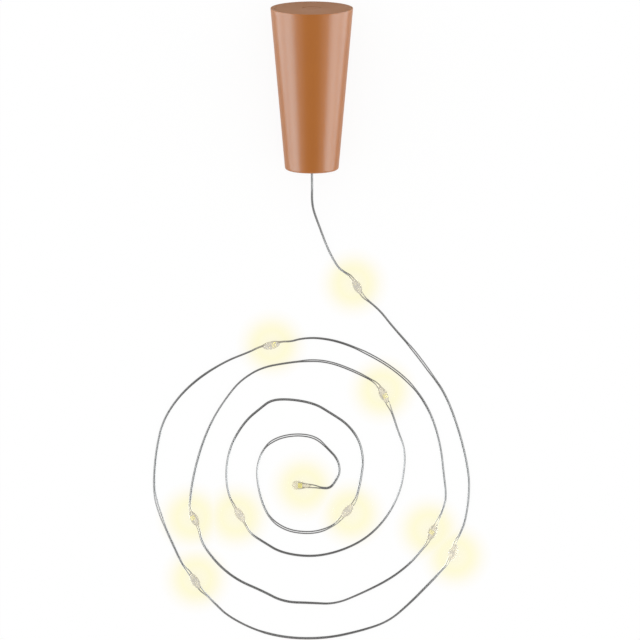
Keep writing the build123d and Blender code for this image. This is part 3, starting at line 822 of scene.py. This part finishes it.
polished_brown = brown_finish("polished brown ABS", "#b0650f", "#a95f0c", 0.3, 0.5, 0.003 * mm)
matt_brown = brown_finish("matt brown ABS", "#9c6a44", "#946440", 0.62, 0.2, 0.012 * mm)

# %% [markdown]
# The stopper shell. The real one is a thin tapered cup, moulded in one piece, and it is
# round, so it is a lathe shape: one closed outline of the wall, spun round the axis.
# Corners that a finger would feel are rounded on the outline itself. Two extra points
# in line hold the shading of the long straight side flat right up to its ends.

# %% The stopper shell
shell_wall = 0.9 * mm / cos(taper)
shell_floor = 1.6 * mm
wire_hole_radius = 1.2 * mm
cap_thickness = 1.6 * mm
rim_wall = 1.0 * mm
ledge_width = 0.8 * mm
ledge_height = 1.0 * mm
narrow_rounding = 0.5 * mm
wide_rounding = 0.12 * mm
seam_rounding = 0.04 * mm
shading_hold = 0.8 * mm
lathe_steps = 128
corner_steps = 5
flat_margin = 0.01 * mm
cap_seat = stopper_length - cap_thickness
mouth_radius = wide_radius - rim_wall
ledge_radius = mouth_radius - ledge_width


def outer_radius(height):
    """The stopper's outer radius at a height above its narrow end."""
    return narrow_radius + height * tan(taper)


def lathe(outline, roundings, closed=True):
    """Spin an outline of (radius, height) points round z, with some corners rounded."""
    bm = bmesh.new()
    corners = [bm.verts.new((radius, 0, height)) for radius, height in outline]
    followers = corners[1:] + corners[:1] if closed else corners[1:]
    for first, second in zip(corners, followers):
        bm.edges.new((first, second))
    for index, size in roundings.items():
        bmesh.ops.bevel(bm, geom=[corners[index]], offset=size, offset_type="OFFSET",
                        segments=corner_steps, profile=0.5, affect="VERTICES", material=-1)
    bmesh.ops.spin(bm, geom=bm.verts[:] + bm.edges[:], axis=(0, 0, 1), cent=(0, 0, 0),
                   angle=2 * pi, steps=lathe_steps, use_merge=True)
    bmesh.ops.remove_doubles(bm, verts=bm.verts, dist=weld)
    bmesh.ops.recalc_face_normals(bm, faces=bm.faces)
    return bm


shell_outline = [
    (wire_hole_radius, 0),
    (narrow_radius - 2 * shading_hold, 0),
    (narrow_radius, 0),
    (outer_radius(shading_hold), shading_hold),
    (outer_radius(stopper_length - shading_hold), stopper_length - shading_hold),
    (wide_radius, stopper_length),
    (mouth_radius, stopper_length),
    (mouth_radius, cap_seat),
    (ledge_radius, cap_seat),
    (ledge_radius, cap_seat - ledge_height),
    (outer_radius(cap_seat - ledge_height) - shell_wall, cap_seat - ledge_height),
    (outer_radius(shell_floor) - shell_wall, shell_floor),
    (wire_hole_radius, shell_floor),
]
shell_roundings = {2: narrow_rounding, 5: wide_rounding, 6: seam_rounding, 11: narrow_rounding}
shell = lathe(shell_outline, shell_roundings)
for face in shell.faces:
    if face.calc_center_median().z > stopper_length - flat_margin:
        face.material_index = 1

# %% [markdown]
# The ribs. Four of them stand on the shell's wall and guide the tray as it slides in.
# Each is a cube whose outer side is sloped to sink into the wall. They join the shell's
# own mesh, since they are moulded with it.

# %% The ribs, and the shell finished
rib_count = 4
rib_thickness = 0.8 * mm
rib_foot = 15.5 * mm
rib_head = 35.4 * mm
rib_start_turn = radians(45)
guide_radius = 6.85 * mm
for i in range(rib_count):
    made = bmesh.ops.create_cube(shell, size=1)["verts"]
    for v in made:
        height = rib_foot if v.co.z < 0 else rib_head
        reach = guide_radius if v.co.x < 0 else outer_radius(height) - shell_wall / 2
        v.co = Vector((reach, v.co.y * rib_thickness, height))
    turn = Matrix.Rotation(rib_start_turn + i * 2 * pi / rib_count, 3, "Z")
    bmesh.ops.rotate(shell, verts=made, cent=(0, 0, 0), matrix=turn)

stopper_shell = add_piece(
    "stopper_shell", mesh_of(shell, stopper_frame), "stopper",
    [polished_brown, matt_brown], ["cork_shell"])
print("stopper_shell", len(stopper_shell.data.polygons), "faces")

# %% [markdown]
# The cap and the knob. Both are round, so the lathe makes them too. The cap is a disc
# with a spigot under it, and the switch's knob is a button in its middle, a hair's
# breadth below its face. Both are moulded from the same dull brown as the shell's end
# face, and the seams between them are so fine that the end reads as one plain face.

# %% The cap and the knob
seam = 0.05 * mm
spigot_wall = 0.8 * mm
spigot_length = 2.0 * mm
spigot_gap = 0.1 * mm
spigot_rounding = 0.2 * mm
knob_radius = 2.2 * mm
knob_sink = 0.05 * mm
knob_gap = 0.06 * mm
flange_width = 0.4 * mm
flange_height = 0.5 * mm
cap_radius = mouth_radius - seam
spigot_radius = ledge_radius - spigot_gap
flange_top = cap_seat - knob_gap

cap_outline = [
    (knob_radius + knob_gap, cap_seat),
    (knob_radius + knob_gap, stopper_length),
    (cap_radius, stopper_length),
    (cap_radius, cap_seat),
    (spigot_radius, cap_seat),
    (spigot_radius, cap_seat - spigot_length),
    (spigot_radius - spigot_wall, cap_seat - spigot_length),
    (spigot_radius - spigot_wall, cap_seat),
]
cap_roundings = {1: seam_rounding, 2: seam_rounding, 5: spigot_rounding, 6: spigot_rounding}
cap = add_piece(
    "cap", mesh_of(lathe(cap_outline, cap_roundings), stopper_frame), "battery_module",
    [matt_brown], ["end_cap"])

knob_outline = [
    (0, flange_top - flange_height),
    (knob_radius + flange_width, flange_top - flange_height),
    (knob_radius + flange_width, flange_top),
    (knob_radius, flange_top),
    (knob_radius, stopper_length - knob_sink),
    (0, stopper_length - knob_sink),
]
knob_roundings = {1: seam_rounding, 2: seam_rounding, 4: 2 * seam_rounding}
knob = add_piece(
    "knob", mesh_of(lathe(knob_outline, knob_roundings, closed=False), stopper_frame), "knob",
    [matt_brown], ["switch_knob"])
print("cap", len(cap.data.polygons), "faces, knob", len(knob.data.polygons), "faces")

# %% [markdown]
# Pieces that are right as they are. Flat plates and blocks have their true shape in the
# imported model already, but its mesh is loose triangles with knife edges. A copy of it
# is merged into clean faces, and a Bevel rounds the edges as a mould or a press would,
# because real edges always catch a line of light. A Weighted Normal keeps flat faces
# flat between their rounded edges.

# %% Copying a CAD node
flat_angle = radians(0.5)
edge_steps = 2


def copy_of(node):
    """A CAD node's shape as clean faces: its triangles merged and flat ones joined."""
    bm = bmesh.new()
    bm.from_mesh(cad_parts[node].data)
    bmesh.ops.remove_doubles(bm, verts=bm.verts, dist=weld)
    bmesh.ops.dissolve_limit(bm, angle_limit=flat_angle, verts=bm.verts, edges=bm.edges)
    return mesh_of(bm)


def dress(node, name, slot, material, edge):
    """Stand a copy of one of the battery module's CAD nodes in its place, edges rounded."""
    piece = add_piece(name, copy_of(node), "battery_module", [material], [node])
    bevel = piece.modifiers.new("rounded edges", "BEVEL")
    bevel.width = edge
    bevel.segments = edge_steps
    bevel.limit_method = "ANGLE"
    bevel.angle_limit = crisp_angle
    flat = piece.modifiers.new("flat faces", "WEIGHTED_NORMAL")
    flat.keep_sharp = True
    print(name, len(piece.data.polygons), "faces before its edges are rounded")


# %% [markdown]
# The anchor. A plug of soft rubber in the narrow end holds the two wires, and its
# flange on the shell's floor takes the pull on them. Rubber is matt and a little
# uneven where it was cast, and it is round here, so the lathe makes it.

# %% The anchor
grey_rubber = grained(
    "grey rubber", "#6f6a64", 0.7, 0.3 * mm, ("#746f69", "#67625d"), (0.01 * mm, 0.4))
anchor_plug = 1.17 * mm
anchor_flange = 3.0 * mm
anchor_top = 3.0 * mm
anchor_rounding = 0.2 * mm
anchor_top_rounding = 0.3 * mm
anchor_outline = [
    (0, 0), (anchor_plug, 0), (anchor_plug, shell_floor), (anchor_flange, shell_floor),
    (anchor_flange, anchor_top), (0, anchor_top),
]
anchor_roundings = {1: anchor_rounding, 3: anchor_rounding, 4: anchor_top_rounding}
anchor = add_piece(
    "anchor", mesh_of(lathe(anchor_outline, anchor_roundings, closed=False), stopper_frame),
    "stopper", [grey_rubber], ["wire_anchor"])
print("anchor", len(anchor.data.polygons), "faces")

# %% [markdown]
# The finishes inside. The tray is black ABS with a fine spark-eroded texture. The
# contacts are nickel-plated spring steel, which keeps faint lines from the rolls. The
# button cells are brighter nickel, with a nylon ring that keeps their poles apart.

# %% Black ABS, nickel and nylon
line_length = 1.2 * mm
line_stretch = 12


def nickel_finish():
    """Nickel plate over stamped steel, with faint lines from the rolls."""
    material, tree, shader = surface("nickel plate", "#b9b4aa", 0.25, Metallic=1.0)
    where = add_node(tree, "ShaderNodeTexCoord").outputs["Object"]
    lines = add_node(tree, "ShaderNodeMapping", {"Vector": where, "Scale": (1, 1, line_stretch)})
    values = {"Vector": lines.outputs["Vector"], "Scale": 1 / line_length}
    pattern = add_node(tree, "ShaderNodeTexNoise", values).outputs["Fac"]
    drift(tree, shader, pattern, "#bfbab0", "#aca79e")
    return material


# black ABS, with the fine grain of a spark-eroded mould
tray_black = grained(
    "black ABS", "#1c1c1d", 0.5, 0.18 * mm, ("#202021", "#171718"), (0.008 * mm, 0.5))
contact_nickel = nickel_finish()
# a button cell's bright nickel skin, rolled and drawn
cell_nickel = grained(
    "button cell nickel", "#c9c8c4", 0.2, 0.5 * mm, ("#cfcecb", "#bdbcb8"), Metallic=1.0)
# the pale nylon ring between a cell's poles
cell_nylon = grained("nylon", "#cfd6d4", 0.45, 0.3 * mm, dent=(0.005 * mm, 0.3))

# %% The tray, the contacts and the switch
plain_pieces = [
    ("battery_cage", "tray", "tray_black", tray_black, 0.12 * mm),
    ("positive_contact", "top_contact", "contact_nickel", contact_nickel, 0.05 * mm),
    ("negative_contact", "foot_contact", "contact_nickel", contact_nickel, 0.05 * mm),
    ("switch_housing", "switch_body", "tray_black", tray_black, 0.1 * mm),
    ("switch_terminals", "switch_pins", "contact_nickel", contact_nickel, 0.04 * mm),
]
for plain_piece in plain_pieces:
    dress(*plain_piece)

# %% [markdown]
# The button cells. Each is a can, drawn from nickel-plated steel and crimped over a
# nylon ring, with the smaller pole in the middle of the ring. The lathe turns all
# three. Two extra points on the can's outline hold the shading of its straight side.

# %% The button cells
cell_radius = 5.8 * mm
cell_height = 5.4 * mm
cell_pole_radius = 4.6 * mm
cell_pole_height = 0.4 * mm
cell_count = 3
stack_foot = 17.1 * mm
gasket_radius = 4.85 * mm
lip_depth = 0.5 * mm
crimp_rounding = 0.55 * mm
crimp_hold = 1.2 * mm
can_rounding = 0.35 * mm
can_hold = 0.8 * mm
pole_gap = 0.2 * mm
pole_radius = cell_pole_radius - pole_gap
pole_draft = 0.05 * mm
pole_rounding = 0.15 * mm
ring_overlap = 0.02 * mm
ring_proud = 0.05 * mm
ring_depth = 0.4 * mm
ring_rounding = 0.03 * mm


def cell_mesh(foot):
    """A button cell: the can, its crimped lip, the nylon ring and the smaller pole."""
    lip = foot + cell_pole_height
    top = foot + cell_height
    can = lathe([
        (cell_pole_radius, lip + lip_depth), (gasket_radius, lip), (cell_radius, lip),
        (cell_radius, lip + crimp_hold), (cell_radius, top - can_hold), (cell_radius, top),
        (0, top),
    ], {2: crimp_rounding, 5: can_rounding}, closed=False)
    pole = lathe([
        (0, foot), (pole_radius - pole_draft, foot), (pole_radius, lip),
        (pole_radius, lip + lip_depth), (0, lip + lip_depth),
    ], {1: pole_rounding}, closed=False)
    inner, outer = pole_radius - ring_overlap, gasket_radius + ring_overlap
    ring = lathe([
        (inner, lip - ring_proud), (outer, lip - ring_proud),
        (outer, lip + ring_depth), (inner, lip + ring_depth),
    ], {0: ring_rounding, 1: ring_rounding})
    for face in ring.faces:
        face.material_index = 1
    for part in (pole, ring):
        mesh = mesh_of(part)
        can.from_mesh(mesh)
        bpy.data.meshes.remove(mesh)
    return mesh_of(can, stopper_frame)


for i in range(cell_count):
    add_piece(f"cell_{i + 1}", cell_mesh(stack_foot + i * cell_height), "battery_module",
              [cell_nickel, cell_nylon], [f"button_cell_{i + 1}"])
print("cells", cell_count)

# %% [markdown]
# Spring and inner leads. The conical spring is round steel wire wound by a machine, so
# a loop works out its turns. The two slack leads are the same enamelled strands as the
# outer wire, coiled loosely in the narrow end, so that the tray can be pulled out: one
# end stays with the stopper, the other goes with the tray, and the coil opens between.

# %% The spring
spring_wire_radius = 0.2 * mm
spring_foot = 15.3 * mm
spring_height = 1.8 * mm
spring_base_radius = 3.6 * mm
spring_tip_radius = 1.7 * mm
spring_turns = 2.25
spring_points_per_turn = 24
spring_roundness = 3


def spring_line():
    """Points along a cone, from the wide foot to the narrow tip."""
    steps = round(spring_turns * spring_points_per_turn)
    points = []
    for i in range(steps + 1):
        share = i / steps
        angle = 2 * pi * spring_turns * share
        radius = spring_base_radius + (spring_tip_radius - spring_base_radius) * share
        height = spring_foot + spring_wire_radius + (spring_height - 2 * spring_wire_radius) * share
        points.append(Vector((radius * cos(angle), radius * sin(angle), height)))
    return points


spring = tube(spring_line(), spring_wire_radius, spring_roundness)
spring.transform(stopper_frame)
add_piece("spring", spring, "battery_module", [contact_nickel],
          ["battery_spring"])
print("spring", spring_turns, "turns")

# %% The inner leads
strand_half_spacing = 0.18 * mm
coil_clearance = 1.13 * mm
coil_radius = outer_radius(shell_floor) - shell_wall - coil_clearance
coil_first_radius = 2.4 * mm
coil_radius_step = 0.9 * mm
coil_turns = 1.5
coil_points_per_turn = 6
coil_foot = anchor_top + 2.0 * mm
coil_head = 11.9 * mm
lead_rise = 0.9 * mm
lead_straight = 2.0 * mm
tray_foot = 14.3 * mm
groove_line_radius = 6.37 * mm
tab_offset = 4.2 * mm
tab_reach = 0.6 * mm


def inner_lead_line(side, end_radius, end_height):
    """A lead from the anchor: up, out and round in loose turns, and up to its contact."""
    start = side * strand_half_spacing
    controls = [(start, 0, 0), (start, 0, anchor_top + lead_rise)]
    steps = round(coil_turns * coil_points_per_turn)
    first_angle = side * pi / 2 - 2 * pi * coil_turns
    for i in range(steps):
        angle = first_angle + 2 * pi * i / coil_points_per_turn
        radius = min(coil_radius, coil_first_radius + i * coil_radius_step)
        height = coil_foot + (coil_head - coil_foot) * i / steps
        controls.append((radius * cos(angle), radius * sin(angle), height))
    controls.append((0, side * end_radius, end_height - lead_straight))
    controls.append((0, side * end_radius, end_height))
    return smooth_line(controls)


inner_leads = {
    "slack_lead_switch": (-1, groove_line_radius, tray_foot),
    "slack_lead_spring": (1, tab_offset, tray_foot - tab_reach),
}
for node, ends in inner_leads.items():
    lead = tube(inner_lead_line(*ends), strand_radius)
    lead.transform(stopper_frame)
    name = node.replace("slack", "coiled")
    piece = add_piece(name, lead, None, [wire_enamel], [node])
    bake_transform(piece)

pin_side = 0.15 * mm
pin_height = 35.0 * mm
bend_reach = 0.5 * mm
bend_steps = 12
groove_line = smooth_line([
    (0, -pin_side, pin_height), (0, -groove_line_radius + bend_reach, pin_height),
    (0, -groove_line_radius, pin_height), (0, -groove_line_radius, pin_height - bend_reach),
    (0, -groove_line_radius, tray_foot)], bend_steps)
lead = tube(groove_line, strand_radius)
lead.transform(stopper_frame)
add_piece("groove_lead", lead, "battery_module", [wire_enamel], ["switch_lead"])
print("inner leads made")
